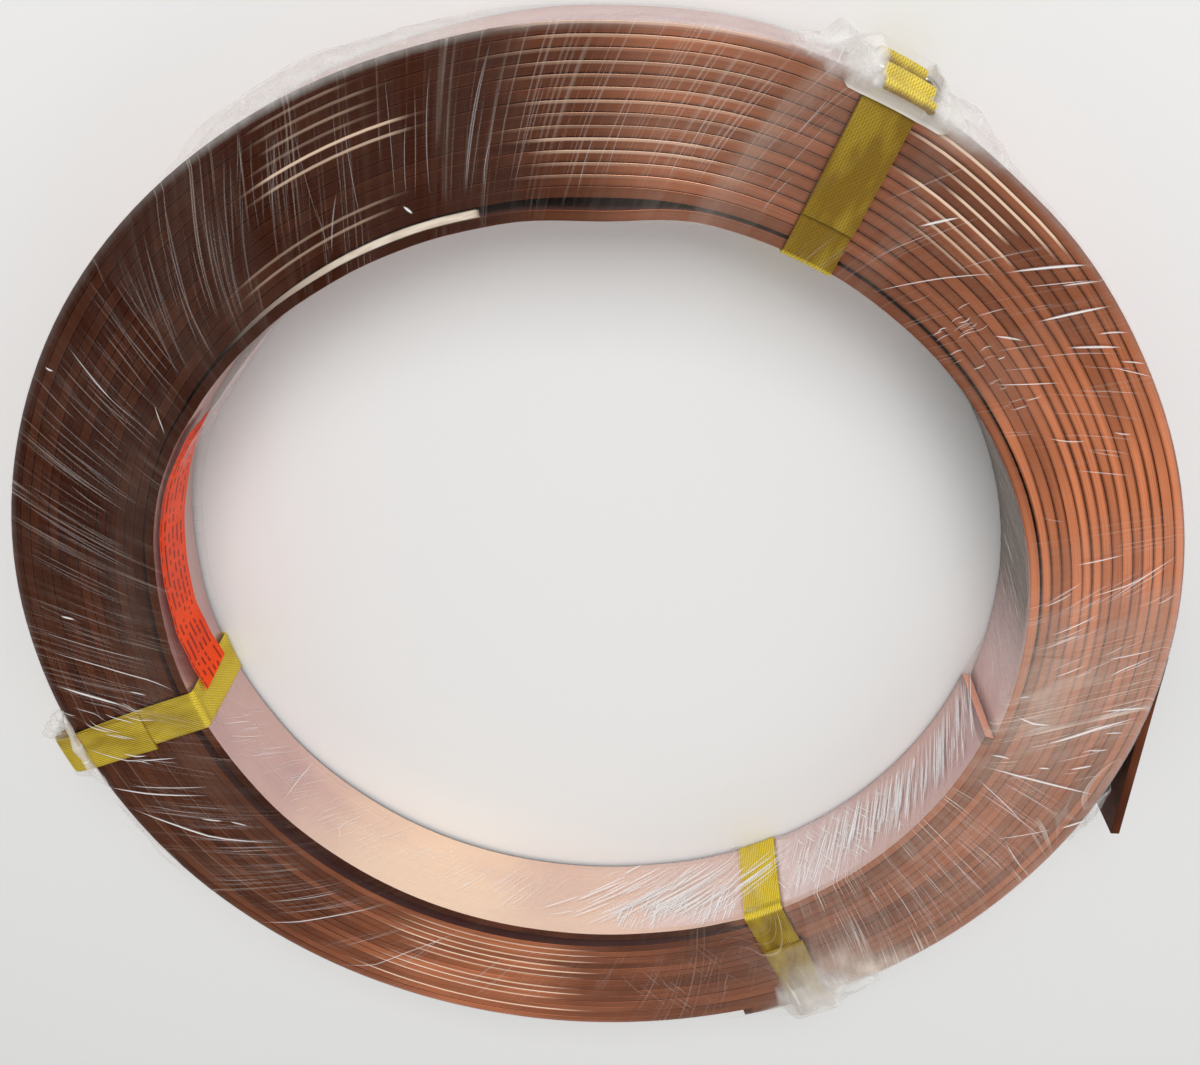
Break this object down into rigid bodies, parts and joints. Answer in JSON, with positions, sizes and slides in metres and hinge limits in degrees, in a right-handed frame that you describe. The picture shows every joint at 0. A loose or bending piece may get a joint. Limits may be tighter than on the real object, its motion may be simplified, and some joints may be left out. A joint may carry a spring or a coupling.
{
  "type": "copper strip coil",
  "caption": "Flat ring of bare copper strip wound on itself, tied round its section with corded straps and wrapped in clear stretch film, lying on one end.",
  "frame": {"origin": "on the coil's axis, in the plane it lies on", "axes": "+Z along the coil's axis, away from the floor; +X towards the free end that stands off the rim"},
  "size_m": [0.3988, 0.3988, 0.0418],
  "materials": {
    "copper": "drawn, dull, slightly browned",
    "strapping": "corded, matt",
    "buckle_wire": "bright wire",
    "label_paper": "matt",
    "film": "clear, creased"
  },
  "bodies": {
    "root": {"copper_strip": "copper", "strap_upper": "strapping", "strap_left": "strapping", "strap_lower": "strapping", "buckle_upper": "buckle_wire", "buckle_left": "buckle_wire", "buckle_lower": "buckle_wire", "paper_label": "label_paper", "stretch_film": "film"}
  },
  "joints": []
}
